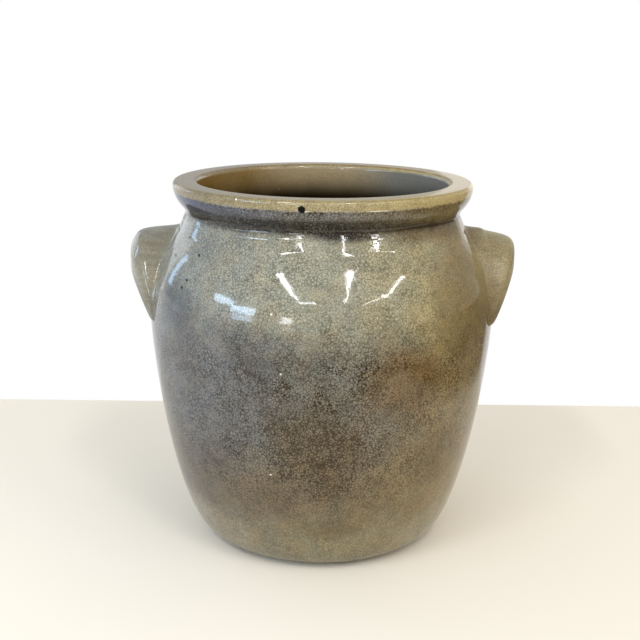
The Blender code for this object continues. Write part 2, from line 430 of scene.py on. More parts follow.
# %% Loft one lug for each side
def lug(name, node, turn, hood):
    """A hood of clay, turned about the jar's axis to its side."""
    root_half, lip_half = lug_arches(hood["top"], hood["lip"])
    roots, lips = both_ways(root_half), both_ways(lip_half)
    crown_radius = BELLY_RADIUS + hood["reach"]
    mesh = bmesh.new()
    rings = []
    for station, (root, lip) in enumerate(zip(roots, lips)):
        share = abs(station / (ARCH_STATIONS - 1) - 1.0)
        tip_radius = wall_radius(lip.z) + hood["tip_stand"]
        crown = crown_radius + (tip_radius - crown_radius) * share ** hood["fall"]
        ring = lug_section(root, lip, crown, hood["roof"])
        verts = [mesh.verts.new(place) for place in ring]
        rings.append([mesh.edges.new(pair) for pair in zip(verts, verts[1:] + verts[:1])])
    for first, second in zip(rings, rings[1:]):
        bmesh.ops.bridge_loops(mesh, edges=first + second)
    for end in (rings[0], rings[-1]):
        bmesh.ops.contextual_create(mesh, geom=end)
    bmesh.ops.recalc_face_normals(mesh, faces=mesh.faces)
    bmesh.ops.rotate(mesh, verts=mesh.verts, matrix=Matrix.Rotation(turn, 3, "Z"))
    made = finish_mesh(mesh, name)
    soft = made.modifiers.new("Soft clay", "SUBSURF")
    soft.levels = 3
    soft.render_levels = 3
    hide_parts(node)
    return made


left_lug = lug("left_hooded_lug", "left_lug_handle", math.pi, LEFT_HOOD)
right_lug = lug("right_hooded_lug", "right_lug_handle", 0.0, RIGHT_HOOD)
print("lugs", left_lug.name, "and", right_lug.name)

# %% [markdown]
# ## A short way to write nodes
# Every finish below is a tree of nodes. Adding one node, setting it and linking it takes several
# lines, so this small class does it in one. An input that is given a number or a colour keeps it,
# and an input that is given another node's output is linked to that output. What several
# materials share is built once, as a node group with named inputs and outputs.


# %% The recipe class
class Recipe:
    """Adds nodes to a tree and joins them."""

    def __init__(self, tree):
        self.nodes = tree.nodes
        self.links = tree.links

    def feed(self, socket, value):
        """Links a socket to an output, or sets it."""
        if isinstance(value, bpy.types.NodeSocket):
            self.links.new(value, socket)
        else:
            socket.default_value = value

    def add(self, kind, values, **settings):
        """A node with its settings, and with its inputs given by name or number."""
        made = self.nodes.new(kind)
        for name, value in settings.items():
            setattr(made, name, value)
        for name, value in values.items():
            self.feed(made.inputs[name], value)
        return made

    def math(self, operation, first, second=0.0):
        """One sum."""
        values = {0: first, 1: second}
        return self.add("ShaderNodeMath", values, operation=operation).outputs[0]

    def plus(self, first, second):
        return self.math("ADD", first, second)

    def minus(self, first, second):
        return self.math("SUBTRACT", first, second)

    def times(self, first, second):
        return self.math("MULTIPLY", first, second)

    def vector(self, operation, first, second):
        """One sum with vectors."""
        values = {0: first, 1: second}
        return self.add("ShaderNodeVectorMath", values, operation=operation).outputs[0]

    def length(self, vector):
        """How long a vector is."""
        made = self.add("ShaderNodeVectorMath", {0: vector}, operation="LENGTH")
        return made.outputs["Value"]

    def ramp(self, value, low, high, start=0.0, end=1.0):
        """A smooth change from start to end while a value goes from low to high."""
        values = {"Value": value, "From Min": low, "From Max": high, "To Min": start, "To Max": end}
        made = self.add("ShaderNodeMapRange", values, interpolation_type="SMOOTHSTEP")
        return made.outputs["Result"]

    def noise(self, place, size, detail):
        """Random values that change over about the given size."""
        values = {"Vector": place, "Scale": 1.0 / size, "Detail": detail}
        return self.add("ShaderNodeTexNoise", values).outputs["Fac"]

    def mix(self, share, first, second, blend="MIX"):
        """One colour laid over another."""
        made = self.add("ShaderNodeMix", {}, data_type="RGBA", blend_type=blend)
        for name, value in (("Factor", share), ("A", first), ("B", second)):
            self.feed(made.inputs[name], value)
        return made.outputs["Result"]

    def axes(self, place):
        """The three numbers of a place."""
        return self.add("ShaderNodeSeparateXYZ", {0: place}).outputs

    def use(self, group, values):
        """A node group, with its inputs."""
        tree = bpy.data.node_groups[group]
        return self.add("ShaderNodeGroup", values, node_tree=tree).outputs


def paint(red, green, blue):
    """A colour as a screen shows it, from 0 to 255, in Blender's linear values."""
    screen = Color((red / 255, green / 255, blue / 255))
    return (*screen.from_srgb_to_scene_linear(), 1.0)


# %% A helper for node groups
NUMBER = "NodeSocketFloat"
VECTOR = "NodeSocketVector"
COLOUR = "NodeSocketColor"
ORIGIN = (0.0, 0.0, 0.0)


def effect(name, inputs, outputs):
    """A new node group: its recipe, what comes in, and where the results go."""
    tree = bpy.data.node_groups.new(name, "ShaderNodeTree")
    for socket, value in inputs.items():
        kind = VECTOR if isinstance(value, tuple) else NUMBER
        made = tree.interface.new_socket(socket, in_out="INPUT", socket_type=kind)
        made.default_value = value
    for socket, kind in outputs.items():
        tree.interface.new_socket(socket, in_out="OUTPUT", socket_type=kind)
    recipe = Recipe(tree)
    given = recipe.add("NodeGroupInput", {}).outputs
    result = recipe.add("NodeGroupOutput", {}).inputs
    return recipe, given, result


# %% [markdown]
# ## The crackle
# As the pot cooled, the glaze shrank more than the clay and broke into cells 2 to 4 mm across.
# Years of fat and dirt have drawn brown lines into the cracks. A Voronoi texture gives just such
# cells, and its distance to the nearest edge gives the lines. The place is pushed about by a
# noise first, because straight cell walls look like a mesh, and the lines get thicker and
# thinner over a few millimetres.

# %% The crackle group
crackle, given, result = effect(
    "Crackle",
    {"Vector": ORIGIN, "Cell Size": 0.0028, "Line Width": 0.0006},
    {"Lines": NUMBER, "Tone": NUMBER},
)
place = given["Vector"]
density = crackle.math("DIVIDE", 1.0, given["Cell Size"])
stir = crackle.add("ShaderNodeTexNoise", {"Vector": place, "Scale": density, "Detail": 1.0})
shift = crackle.vector("SUBTRACT", stir.outputs["Color"], (0.5, 0.5, 0.5))
values = {0: shift, "Scale": given["Cell Size"]}
push = crackle.add("ShaderNodeVectorMath", values, operation="SCALE").outputs[0]
values = {"Vector": crackle.vector("ADD", place, push), "Scale": density}
edges = crackle.add("ShaderNodeTexVoronoi", values, feature="DISTANCE_TO_EDGE")
cells = crackle.add("ShaderNodeTexVoronoi", values, feature="F1")
width = crackle.times(given["Line Width"], density)
unevenness = crackle.ramp(crackle.noise(place, 0.008, 1.0), 0.3, 0.7, 0.6, 1.3)
width = crackle.times(width, unevenness)
thin = crackle.times(width, 0.25)
crackle.feed(result["Lines"], crackle.ramp(edges.outputs["Distance"], thin, width, 1.0, 0.0))
crackle.feed(result["Tone"], cells.outputs["Color"])
print("the crackle group has", len(crackle.nodes), "nodes")

# %% [markdown]
# ## Stains and specks
# A stain is a soft-edged blotch at one place of the pot, such as the dark shadow of iron under
# the rim. Its place is measured from its own centre and in its own reach, so one group serves a
# wide stain and a pin-sized spot. Specks are the many small pits and grains that are strewn over
# the glaze: a Voronoi cell in so many holds one.

# %% The stain group
BLOT_EDGE = (0.35, 1.15)

stain, given, result = effect(
    "Stain",
    {"Vector": ORIGIN, "Centre": ORIGIN, "Reach": (1.0, 1.0, 1.0), "Raggedness": 0.6},
    {"Mask": NUMBER},
)
offset = stain.vector("SUBTRACT", given["Vector"], given["Centre"])
share = stain.vector("DIVIDE", offset, given["Reach"])
rag = stain.minus(stain.noise(share, 0.9, 4.0), 0.5)
distance = stain.plus(stain.length(share), stain.times(rag, given["Raggedness"]))
stain.feed(result["Mask"], stain.ramp(distance, *BLOT_EDGE, 1.0, 0.0))

# %% The speck group
specks, given, result = effect(
    "Specks",
    {"Vector": ORIGIN, "Spacing": 0.012, "Size": 0.0005, "Share": 0.4},
    {"Mask": NUMBER},
)
density = specks.math("DIVIDE", 1.0, given["Spacing"])
values = {"Vector": given["Vector"], "Scale": density}
cells = specks.add("ShaderNodeTexVoronoi", values, feature="F1")
size = specks.times(given["Size"], density)
inner = specks.times(size, 0.5)
dot = specks.ramp(cells.outputs["Distance"], inner, size, 1.0, 0.0)
tone = specks.axes(cells.outputs["Color"])[0]
chosen = specks.math("LESS_THAN", tone, given["Share"])
specks.feed(result["Mask"], specks.times(dot, chosen))
print("the groups of stains and specks have", len(stain.nodes), "and", len(specks.nodes), "nodes")

# %% [markdown]
# ## The glaze
# One glaze covers the whole pot, but it isn't one colour. It is paler on the shoulder, where it
# lies thin, and darker on the belly. From left to right it goes from blue-grey through grey-green
# to olive, as the flame of the kiln passed over it. So the colour is looked up by place: three
# colours across, mixed for each level of the pot. A painted image could hold that too, but these
# values can be changed one by one. It is a group, because the jar and its lugs were dipped in the
# same bucket. Its sums are used so often that they get short names here.

# %% Colours of the glaze, from left to right
SHOULDER_COLOURS = (paint(142, 141, 135), paint(153, 150, 133), paint(157, 148, 114))
BELLY_COLOURS = (paint(109, 109, 114), paint(107, 105, 102), paint(132, 119, 88))
LOW_COLOURS = (paint(99, 89, 82), paint(121, 108, 86), paint(132, 117, 80))
FOOT_COLOURS = (paint(145, 134, 117), paint(134, 125, 99), paint(147, 138, 110))
BAND_COLOURS = (paint(70, 79, 108), paint(120, 118, 112), paint(114, 100, 62))
RIM_COLOURS = (paint(140, 126, 99), paint(166, 152, 115), paint(176, 158, 110))
# Nearly black in the groove: an iron stain with the shade under the roll painted into it.
STAIN_AND_SHADE_COLOURS = (paint(6, 8, 28), paint(8, 8, 17), paint(13, 6, 3))
LINE_COLOURS = (paint(30, 27, 25), paint(47, 33, 7), paint(66, 44, 6))
INSIDE_COLOURS = (paint(119, 91, 36), paint(150, 133, 102), paint(112, 111, 106))

# %% Start the glaze group
glaze, given, result = effect(
    "Glaze",
    {
        "Vector": ORIGIN,
        "Inside": 0.0,
        "Crackle": 1.0,
        "Tint": (1.0, 1.0, 1.0),
        "Dullness": 0.0,
        "Streaks": 0.0,
    },
    {"Color": COLOUR, "Roughness": NUMBER, "Height": NUMBER},
)
place = given["Vector"]
side, _, height = glaze.axes(place)
plus, minus, times = glaze.plus, glaze.minus, glaze.times
ramp, mix = glaze.ramp, glaze.mix
print("the glaze group takes", len(given) - 1, "values")


# %% What several cells of the glaze need
LINE_WIDTH = 0.00044


def noisy(size, detail):
    """A noise over the pot whose values change over about the given size."""
    return glaze.noise(place, size, detail)


def toned(below, factor):
    """A colour multiplied by another."""
    return mix(1.0, below, factor, "MULTIPLY")


def spot(centre, reach, raggedness):
    """The mask of one stain."""
    values = {"Vector": place, "Centre": centre, "Reach": reach, "Raggedness": raggedness}
    return glaze.use("Stain", values)["Mask"]


def stripe(value, start, full, fading, end):
    """A mask that comes, stays and goes again while a value grows."""
    return times(ramp(value, start, full), ramp(value, fading, end, 1.0, 0.0))


def net(cell):
    """A net of cracks round cells of one size."""
    values = {"Vector": place, "Cell Size": cell, "Line Width": LINE_WIDTH}
    return glaze.use("Crackle", values)


# %% Let the borders between colours wander
DRIFT_SIZE = 0.045
DRIFT_ACROSS = 0.06
DRIFT_UP = 0.03
RAG_SIZE = 0.006
RAG_UP = 0.012
LEFT_TO_MIDDLE = (-0.115, -0.005)
MIDDLE_TO_RIGHT = (0.005, 0.105)

drift = minus(noisy(DRIFT_SIZE, 3.0), 0.5)
ragged = minus(noisy(RAG_SIZE, 3.0), 0.5)
drifted_side = plus(side, times(drift, DRIFT_ACROSS))
drifted_height = plus(height, times(drift, DRIFT_UP))
drifted_height = plus(drifted_height, times(ragged, RAG_UP))


def across(colours):
    """The left, middle or right colour, by how far to the side a place is."""
    left, middle, right = colours
    to_middle = ramp(drifted_side, *LEFT_TO_MIDDLE)
    to_right = ramp(drifted_side, *MIDDLE_TO_RIGHT)
    return mix(to_right, mix(to_middle, left, middle), right)


# %% Lay the levels over each other, from the foot up
LOW_EDGE = (0.030, 0.060)
BELLY_EDGE = (0.075, 0.135)
SHOULDER_EDGE = (0.168, 0.220)
SHOULDER_RISE = 0.010

low_share = ramp(drifted_height, *LOW_EDGE)
colour = mix(low_share, across(FOOT_COLOURS), across(LOW_COLOURS))
colour = mix(ramp(drifted_height, *BELLY_EDGE), colour, across(BELLY_COLOURS))
risen = ramp(side, -0.050, 0.040, SHOULDER_RISE, 0.0)
shoulder_share = ramp(minus(drifted_height, risen), *SHOULDER_EDGE)
colour = mix(shoulder_share, colour, across(SHOULDER_COLOURS))
print("the shoulder's colour is full from", round(SHOULDER_EDGE[1] * 1000), "mm up")

# %% [markdown]
# ## Patches
# Where the glaze ran together or the flame licked the pot, it went brown, orange or slate. The
# photograph shows about a dozen such patches, so each gets a row of its own: its centre, how far
# it reaches in each direction, how ragged its edge is, how strongly it covers, and its colour.
# A random noise would be quicker to write, but it would make another jar.

# %% Lay the patches on
PATCHES = {
    "belly front": ((-0.002, -0.135, 0.111), (0.043, 0.080, 0.053), 1.2, 0.75, paint(104, 88, 64)),
    "grey light": ((0.004, -0.140, 0.168), (0.056, 0.060, 0.022), 0.8, 0.5, paint(128, 125, 114)),
    "orange": ((0.062, -0.126, 0.166), (0.036, 0.060, 0.034), 0.5, 0.6, paint(108, 80, 36)),
    "orange edge": ((0.105, -0.088, 0.168), (0.030, 0.060, 0.045), 1.2, 0.15, paint(126, 98, 50)),
    "brown": ((0.103, -0.084, 0.202), (0.032, 0.060, 0.026), 0.9, 0.70, paint(102, 84, 50)),
    "olive light": ((0.093, -0.093, 0.214), (0.022, 0.050, 0.026), 0.8, 0.7, paint(130, 119, 88)),
    "right top": ((0.108, -0.045, 0.264), (0.024, 0.070, 0.024), 0.8, 0.55, paint(106, 90, 58)),
    "right low": ((0.090, -0.080, 0.094), (0.028, 0.050, 0.030), 1.0, 0.65, paint(104, 90, 58)),
    "foot": ((0.008, -0.090, 0.044), (0.030, 0.050, 0.013), 0.8, 0.75, paint(100, 84, 54)),
    "slate": ((-0.110, -0.085, 0.211), (0.022, 0.040, 0.028), 0.8, 0.7, paint(86, 89, 98)),
    "olive": ((0.108, -0.070, 0.220), (0.040, 0.060, 0.060), 1.0, 0.8, paint(118, 103, 68)),
    "low left": ((-0.045, -0.112, 0.070), (0.055, 0.060, 0.022), 1.3, 0.75, paint(108, 94, 76)),
    "right side": ((0.134, -0.030, 0.175), (0.024, 0.060, 0.050), 0.8, 0.55, paint(98, 80, 48)),
}
patch_masks = {}
for name, (centre, reach, raggedness, strength, pigment) in PATCHES.items():
    patch_masks[name] = spot(centre, reach, raggedness)
    colour = mix(times(patch_masks[name], strength), colour, pigment)
print("patches:", len(patch_masks))

# %% [markdown]
# ## Clouds
# Even between the patches a glaze lies in clouds: wide ones, narrow ones inside them, and a drift
# from warm to cool. Each is a noise whose two ends multiply the colour below by a little less or
# a little more than one. One noise with more detail would take a single node, but here each size
# has its own strength.

# %% Mottle the glaze, finely and coarsely
CLOUDS = ((0.030, 0.45), (0.011, 0.22), (0.0045, 0.12))
CLOUD_DARK = (0.80, 0.79, 0.77, 1.0)
CLOUD_LIGHT = (1.20, 1.20, 1.20, 1.0)
WARM = (1.08, 1.00, 0.84, 1.0)
COOL = (0.94, 1.01, 1.02, 1.0)
HUE_SIZE = 0.016
HUE_SHARE = 0.6

for size, strength in CLOUDS:
    cloud = ramp(noisy(size, 2.0), 0.3, 0.7)
    shade = mix(cloud, CLOUD_DARK, CLOUD_LIGHT)
    colour = mix(strength, colour, toned(colour, shade))
hue = ramp(noisy(HUE_SIZE, 3.0), 0.32, 0.68)
hue_shade = mix(hue, WARM, COOL)
colour = mix(HUE_SHARE, colour, toned(colour, hue_shade))
print("clouds of", [round(size * 1000, 1) for size, _ in CLOUDS], "mm")

# %% [markdown]
# ## Dirt in the crackle
# The cracks are everywhere, but they show where dirt got into them: faintly near the foot, most
# on the belly and its brown front, and less again on the clean shoulder. So the lines are
# multiplied by a share that depends on the place. A second, wider net at half strength stands
# for the cracks that opened first, and a fine noise breaks all of them up. Each cell is also a
# touch lighter or darker than the next, as real ones are.

# %% Draw the crackle in
FINE_CELL = 0.0022
WIDE_CELL = 0.0040
WIDE_SHARE = 0.5
FOOT_DIRT = 0.54
BELLY_DIRT = 1.02
SHOULDER_CLEANER = 0.37
RIGHT_CLEANER = 0.16
LEFT_DIRT = 0.80
PATCH_DIRT = 0.65
CELL_DARK = (0.93, 0.93, 0.93, 1.0)
CELL_LIGHT = (1.07, 1.07, 1.07, 1.0)

fine, wide = net(FINE_CELL), net(WIDE_CELL)
by_height = ramp(height, 0.040, 0.110, FOOT_DIRT, BELLY_DIRT)
by_height = minus(by_height, ramp(drifted_height, 0.170, 0.205, 0.0, SHOULDER_CLEANER))
by_height = minus(by_height, ramp(drifted_side, 0.070, 0.120, 0.0, RIGHT_CLEANER))
dirt = ramp(noisy(0.018, 2.0), 0.30, 0.68, 0.72, 1.0)
dirt = times(dirt, by_height)
dirt = times(dirt, ramp(side, -0.110, -0.065, LEFT_DIRT, 1.0))
dirt = plus(dirt, times(patch_masks["belly front"], PATCH_DIRT))
dirt = times(dirt, given["Crackle"])
lines = glaze.math("MAXIMUM", fine["Lines"], times(wide["Lines"], WIDE_SHARE))
broken = ramp(noisy(0.0016, 1.0), 0.36, 0.64, 0.55, 1.40)
lines = glaze.math("MINIMUM", times(lines, broken), 1.0)
line_share = glaze.math("MINIMUM", times(lines, dirt), 1.0)
cell_shade = mix(fine["Tone"], CELL_DARK, CELL_LIGHT)
colour = toned(colour, cell_shade)
print("crackle cells", round(FINE_CELL * 1000, 1), "and", round(WIDE_CELL * 1000, 1), "mm wide")

# %% [markdown]
# ## Under the rim
# Iron from the clay soaked into the thin glaze of the groove and stained it, and it ran down a
# little at the front. It is painted nearly black because the shade under the roll is painted into
# that stain too. The roll above it is slate at the left and olive at the right, and the top of the
# rim is worn to khaki. Each is laid over the one below, so it only needs its lower edge, as two
# heights between which it turns. The edges waver with a noise, because molten glaze runs. The
# stain also shows the cells, since it soaked in along the cracks.

# %% Burnt collar, iron stain with painted shade, slate band and khaki rim
BURNT_EDGE = (0.2615, 0.2700)
STAIN_AND_SHADE_EDGE = (0.2702, 0.2764)
BAND_EDGE = (0.2806, 0.2900)
RIM_EDGE = (0.2910, 0.2934)
RUN = ((0.014, -0.116, 0.2732), (0.040, 0.040, 0.0068), 1.2)
BURNT = paint(84, 68, 40)
WAVE = 0.0020
RIPPLE = 0.0010
STAIN_AND_SHADE_RIPPLE = 0.004
RIGHT_LIFT = 0.0055
SIDE_FRAY = 0.003

wavy_height = plus(height, times(drift, WAVE))
wavy_height = plus(wavy_height, times(ragged, RIPPLE))
burnt = ramp(drifted_side, 0.030, 0.070, 0.0, 0.65)
burnt = times(ramp(wavy_height, *BURNT_EDGE), burnt)
colour = mix(burnt, colour, BURNT)

# The groove's iron stain and the painted shade under the roll, nearly black, with its run at the
# front.
stain_and_shade_height = plus(wavy_height, times(ragged, STAIN_AND_SHADE_RIPPLE))
in_stain_and_shade = glaze.math("MAXIMUM", ramp(stain_and_shade_height, *STAIN_AND_SHADE_EDGE), spot(*RUN))
soaked = glaze.math("MAXIMUM", lines, times(fine["Tone"], 0.5))
soaked = ramp(soaked, 0.0, 0.7, 0.74, 1.0)
colour = mix(times(in_stain_and_shade, soaked), colour, across(STAIN_AND_SHADE_COLOURS))

lifted = plus(wavy_height, ramp(side, 0.025, 0.090, 0.0, RIGHT_LIFT))
in_band = ramp(lifted, *BAND_EDGE)
colour = mix(in_band, colour, across(BAND_COLOURS))

at_side = ramp(glaze.math("ABSOLUTE", side), 0.058, 0.085)
frayed = times(times(ragged, at_side), SIDE_FRAY)
on_rim = ramp(plus(wavy_height, frayed), *RIM_EDGE)
colour = mix(on_rim, colour, across(RIM_COLOURS))
print("the rim turns khaki", round((HEIGHT - RIM_EDGE[1]) * 1000, 1), "mm below the top")

# %% [markdown]
# ## The lines, and the streaks of the lugs
# The cracks' lines go on last, over the band and the rim too, where they are fainter. Each
# material may tint the whole, and on the lugs, where a hand pulled the clay, the glaze has flat
# brown streaks. A noise in a space that is squashed from top to bottom gives those.

# %% Lines, tint and streaks
STREAK_SPACE = (0.030, 0.030, 0.0024)
STREAK_COLOUR = paint(96, 78, 52)

band_dirt = times(in_band, ramp(side, -0.105, -0.085, 0.10, 0.34))
band_dirt = times(band_dirt, ramp(side, 0.020, 0.070, 1.0, 0.35))
line_share = plus(line_share, times(lines, band_dirt))
line_share = times(line_share, ramp(on_rim, 0.3, 1.0, 1.0, 0.50))
colour = mix(line_share, colour, across(LINE_COLOURS))
colour = toned(colour, given["Tint"])
squashed = glaze.vector("DIVIDE", place, STREAK_SPACE)
streak = ramp(glaze.noise(squashed, 1.0, 3.0), 0.48, 0.66)
streak = times(streak, ramp(height, 0.205, 0.225, 0.4, 1.0))
streak = times(streak, given["Streaks"])
colour = mix(streak, colour, STREAK_COLOUR)
print("streaks are", round(STREAK_SPACE[0] / STREAK_SPACE[2], 1), "times as long as high")

# %% [markdown]
# ## Edges
# Molten glaze draws back from an edge: the land on top is browner, and round the mouth the clay
# burned through. Along the crest of the roll a thin pale line is a painted glint, where the edge
# catches the light. All three are found by their place on the pot, between two soft borders. The
# Pointiness of a surface would find edges by itself, but it hangs on how fine the mesh is.

# %% The painted glint, the land and an iron spot
GLINT_STRIPE = (0.2918, 0.2922, 0.2924, 0.2929)
PAINTED_GLINT = paint(236, 230, 208)
LAND_EDGE = (0.2982, 0.2994)
LAND_TINT = (0.84, 0.79, 0.62, 1.0)
IRON_SPOT = ((-0.0150, -0.1210, 0.2937), (0.0036, 0.0060, 0.0036), 0.4)
IRON = paint(4, 4, 6)

# A painted glint: a thin pale line along the crest of the roll, where its edge catches the light,
# broken into pieces.
painted_glint_mask = stripe(wavy_height, *GLINT_STRIPE)
glint_gaps = ramp(noisy(0.016, 2.0), 0.46, 0.66, 0.08, 0.85)
painted_glint_mask = times(times(painted_glint_mask, glint_gaps), minus(1.0, at_side))
colour = mix(painted_glint_mask, colour, PAINTED_GLINT)
on_land = ramp(height, *LAND_EDGE)
colour = mix(on_land, colour, toned(colour, LAND_TINT))
colour = mix(ramp(spot(*IRON_SPOT), 0.40, 0.60), colour, IRON)
print("the land begins", round((HEIGHT - LAND_EDGE[0]) * 1000, 1), "mm below the top")

# %% [markdown]
# ## The inside
# The inside is brown at the left and grey at the right. A little below the mouth it is painted
# almost black, which is painted shade, and just under the rim it is painted a little lighter.
# The material reads the mark that was given to the inner points of the section, so the colour
# stops at the mouth's rounding. A second material slot could do that too, but its border would
# follow the faces.

# %% Inside colours with painted shade, and the burnt edge of the mouth
INSIDE_DIRT = paint(50, 38, 24)
# Painted shade inside: dark deep down, painted lighter just under the rim.
PAINTED_SHADE_EDGE = (0.270, 0.293)
MOUTH_STRIPE = (0.1030, 0.1040, 0.1046, 0.1062)
DEEP_PAINTED_SHADE = (0.04, 0.028, 0.016, 1.0)
PAINTED_MOUTH_LIGHT = (1.2, 1.2, 1.2, 1.0)
MOUTH_BURN = paint(108, 78, 42)

# Painted shade: the inside darkens to almost black with depth below the mouth, and is painted
# lighter just under the rim.
inside_height = plus(height, times(drift, 0.008))
painted_inside_shade = mix(ramp(inside_height, *PAINTED_SHADE_EDGE), DEEP_PAINTED_SHADE, PAINTED_MOUTH_LIGHT)
inside_colour = toned(across(INSIDE_COLOURS), painted_inside_shade)
inside_colour = mix(times(line_share, 0.25), inside_colour, INSIDE_DIRT)
inside_share = ramp(wavy_height, 0.2965, 0.2985, 1.0, 0.0)
inside_share = times(given["Inside"], inside_share)
colour = mix(inside_share, colour, inside_colour)

radius = glaze.length(glaze.vector("MULTIPLY", place, (1.0, 1.0, 0.0)))
radius = plus(radius, times(ragged, 0.0016))
mouth_edge = stripe(radius, *MOUTH_STRIPE)
mouth_edge = times(mouth_edge, ramp(height, 0.2955, 0.2975))
burn = ramp(noisy(0.020, 3.0), 0.35, 0.60, 0.15, 0.85)
colour = mix(times(mouth_edge, burn), colour, MOUTH_BURN)
print("the mouth's edge lies", round(MOUTH_RADIUS * 1000, 1), "mm from the axis")

# %% [markdown]
# ## Pits and grains
# Bubbles that burst in the kiln left dark pits, and sand left pale grains. The few large ones
# stand where the photograph has them, and the group of specks strews the small ones. The glaze
# was wiped off the foot, so that the pot wouldn't stick to the kiln's shelf.

# %% Pits, grains and the bare foot
PITS = (
    (-0.103, -0.059, 0.261),
    (-0.093, -0.083, 0.252),
    (-0.114, -0.060, 0.247),
    (-0.102, -0.090, 0.234),
    (-0.106, -0.088, 0.228),
    (0.042, -0.136, 0.181),
    (0.033, -0.138, 0.181),
)
GRAINS = (
    (-0.063, -0.104, 0.298),
    (-0.036, -0.136, 0.220),
    (-0.029, -0.139, 0.176),
    (-0.037, -0.125, 0.092),
)
LARGE = ((PITS, 0.0013, paint(16, 14, 14)), (GRAINS, 0.0009, paint(230, 226, 214)))
SMALL_PITS = {"Vector": place, "Spacing": 0.016, "Size": 0.0009, "Share": 0.22}
SMALL_GRAINS = {"Vector": place, "Spacing": 0.021, "Size": 0.0007, "Share": 0.25}
BARE_EDGE = (0.0010, 0.0022)
CLAY = paint(172, 156, 130)

for centres, reach, pigment in LARGE:
    for centre in centres:
        colour = mix(spot(centre, (reach, 0.0080, reach), 0.3), colour, pigment)
pit = glaze.use("Specks", SMALL_PITS)["Mask"]
grain = glaze.use("Specks", SMALL_GRAINS)["Mask"]
colour = mix(times(pit, 0.85), colour, paint(38, 34, 34))
colour = mix(times(grain, 0.5), colour, paint(214, 210, 200))
bare = ramp(wavy_height, *BARE_EDGE, 1.0, 0.0)
colour = mix(bare, colour, CLAY)
glaze.feed(result["Color"], colour)
print("large pits:", len(PITS), "large grains:", len(GRAINS))

# %% [markdown]
# ## Gloss and relief
# The glaze is nearly a mirror, a little duller in the dirty cracks, on the band and on the rim,
# and the bare foot is rough. Its relief is too fine to be worth faces, so one Bump node gets it
# as a height in metres: wide swells, the peel of a glaze that cooled fast, a cut for each crack,
# a ring that a rib left below the groove, and the pits. As all are in metres, they simply add up.

# %% Roughness
GLOSS = 0.025
DIRTY_GLOSS = 0.06
ROUGHER = ((in_band, 0.05), (on_rim, 0.06), (bare, 0.6))

dull = ramp(line_share, 0.0, 1.0, GLOSS, DIRTY_GLOSS)
for mask, more in ROUGHER:
    dull = plus(dull, times(mask, more))
glaze.feed(result["Roughness"], plus(dull, given["Dullness"]))
print("the clean glaze has a roughness of", GLOSS)

# %% Relief
SWELL_DEPTH = 0.00010
WALL_PEEL = 0.000036
NECK_PEEL = 0.000012
CRACK_DEPTH = 0.000006
RING_STAND = 0.00020
RING_STRIPE = (0.2691, 0.2704, 0.2704, 0.2717)
PIT_DEPTH = 0.00012

swell = times(noisy(0.011, 1.0), SWELL_DEPTH)
peel = ramp(height, 0.252, 0.262, WALL_PEEL, NECK_PEEL)
peel = times(noisy(0.0038, 2.0), peel)
ring_height = plus(height, times(noisy(0.030, 1.0), 0.0012))
ring = times(stripe(ring_height, *RING_STRIPE), RING_STAND)
ring = times(ring, ramp(side, -0.032, -0.008, 1.0, 0.15))
relief = plus(swell, peel)
for part in (times(lines, -CRACK_DEPTH), ring, times(pit, -PIT_DEPTH)):
    relief = plus(relief, part)
glaze.feed(result["Height"], relief)
print("the glaze group has", len(glaze.nodes), "nodes")

# %% [markdown]
# ## The materials
# Each piece gets a material of its own round the same group. The jar takes the glaze as it is.
# The lugs were handled most and stood out into the flame, so theirs is darker, duller and
# streaked, the left one with less crackle and the right one with less gloss. One material with an
# attribute for each difference would also do, but then the values would be harder to find.


# %% A material for each piece
def glazed(name, crackle_share=1.0, tint=(1.0, 1.0, 1.0), dullness=0.0, streaks=0.0):
    """A gloss glaze over stoneware."""
    material = bpy.data.materials.new(name)
    material.use_nodes = True
    recipe = Recipe(material.node_tree)
    shader = recipe.nodes["Principled BSDF"]
    values = {
        "Vector": recipe.add("ShaderNodeTexCoord", {}).outputs["Object"],
        "Inside": recipe.add("ShaderNodeAttribute", {}, attribute_name="inside").outputs["Fac"],
        "Crackle": crackle_share,
        "Tint": tint,
        "Dullness": dullness,
        "Streaks": streaks,
    }
    coat = recipe.use("Glaze", values)
    bump = recipe.add("ShaderNodeBump", {"Height": coat["Height"], "Distance": 1.0})
    recipe.feed(shader.inputs["Base Color"], coat["Color"])
    recipe.feed(shader.inputs["Roughness"], coat["Roughness"])
    recipe.feed(shader.inputs["Normal"], bump.outputs["Normal"])
    return material


left_glaze = glazed("Glaze on the left lug", 0.55, (0.90, 0.83, 0.70), 0.04, 0.30)
right_glaze = glazed("Glaze on the right lug", 1.00, (0.89, 0.86, 0.83), 0.38, 0.20)
jar.data.materials.append(glazed("Crackled glaze"))
left_lug.data.materials.append(left_glaze)
right_lug.data.materials.append(right_glaze)
print("glazed", jar.name, left_lug.name, right_lug.name)

# %% [markdown]
# ## The stage
# The jar stands on a pale table. To the camera the table ends a little behind the jar, at a white
# wall. A real wall there would keep the lamps' light off the table, so the far part of the floor
# only glows white, to the camera and in mirrored light. The glaze also mirrors what the camera
# can't see: in front of the table and beyond its right edge the room is dark, and behind the jar
# that dark begins further to the right. The Light Path node tells those rays from the others.

# %% Floor
FLOOR_REACH = 4.0

floor_mesh = bmesh.new()
bmesh.ops.create_grid(floor_mesh, x_segments=1, y_segments=1, size=FLOOR_REACH)
floor_data = bpy.data.meshes.new("floor")
floor_mesh.to_mesh(floor_data)
floor_mesh.free()
floor = put("floor", floor_data)
print("floor", floor.dimensions.x, "m wide")

# %% What the floor shows
WALL_FOOT = 0.31
WALL_SLANT = 0.8
FRONT_EDGE = (-0.39, -0.34)
RIGHT_EDGE = (0.34, 0.44)
FLOOR_COLOUR = (0.84, 0.78, 0.68, 1.0)
DARK_ROOM = (0.16, 0.15, 0.14, 1.0)
WHITE = (1.0, 1.0, 1.0, 1.0)

